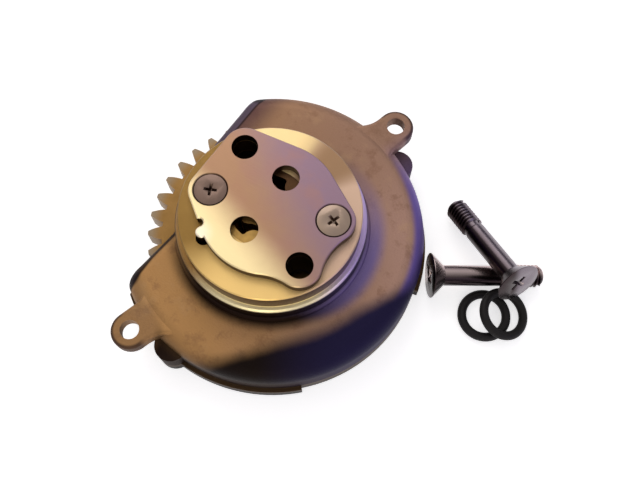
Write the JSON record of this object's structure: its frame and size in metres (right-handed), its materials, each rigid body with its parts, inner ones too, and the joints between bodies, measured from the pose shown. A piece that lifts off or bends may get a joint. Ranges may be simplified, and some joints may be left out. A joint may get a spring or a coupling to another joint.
{
  "type": "engine oil pump",
  "caption": "Gear-driven trochoid oil pump with a die-cast gear case, fixing ears and a machined spigot, with its loose mounting screws and O-rings.",
  "frame": {"origin": "on the pump shaft, in the plane of the gear cover's outer face, on which the pump lies", "axes": "+Z along the shaft from the gear side to the port plate, -X towards the opening where the engine gear meshes"},
  "size_m": [0.1016, 0.0909, 0.0288],
  "materials": {
    "cast_aluminium": "as cast, warm brownish grey, machined bright on the spigot",
    "plate_steel": "ground steel",
    "screw_steel": "plated",
    "gear_steel": "sintered",
    "rotor_steel": "sintered, ground faces",
    "steel": "ground",
    "bronze": "sintered bronze",
    "rubber": "matt black"
  },
  "bodies": {
    "housing": {"pump_body": "cast_aluminium", "body_bush": "bronze", "port_plate": "plate_steel", "plate_screws": "screw_steel", "gear_cover": "cast_aluminium", "cover_bush": "bronze", "cover_screws": "screw_steel", "cover_dowels": "steel", "mounting_screws": "screw_steel", "inlet_o_ring": "rubber", "outlet_o_ring": "rubber"},
    "gear_train": {"drive_gear": "gear_steel", "pump_shaft": "steel", "inner_rotor": "rotor_steel", "rotor_drive_pin": "steel", "gear_drive_pin": "steel", "thrust_washer": "steel", "gear_circlip": "steel"},
    "outer_rotor": {"outer_rotor": "rotor_steel"}
  },
  "joints": [
    {"name": "gear_spin", "type": "hinge", "parent": "housing", "child": "gear_train", "pos_m": [0, 0, 0.0076], "axis": [0, 0, 1], "continuous": true},
    {"name": "outer_rotor_spin", "type": "hinge", "parent": "housing", "child": "outer_rotor", "pos_m": [-0.00124, 0.00016, 0.0211], "axis": [0, 0, 1], "continuous": true}
  ],
  "couplings": [
    {"joint": "outer_rotor_spin", "follows": "gear_spin", "ratio": 0.8}
  ]
}
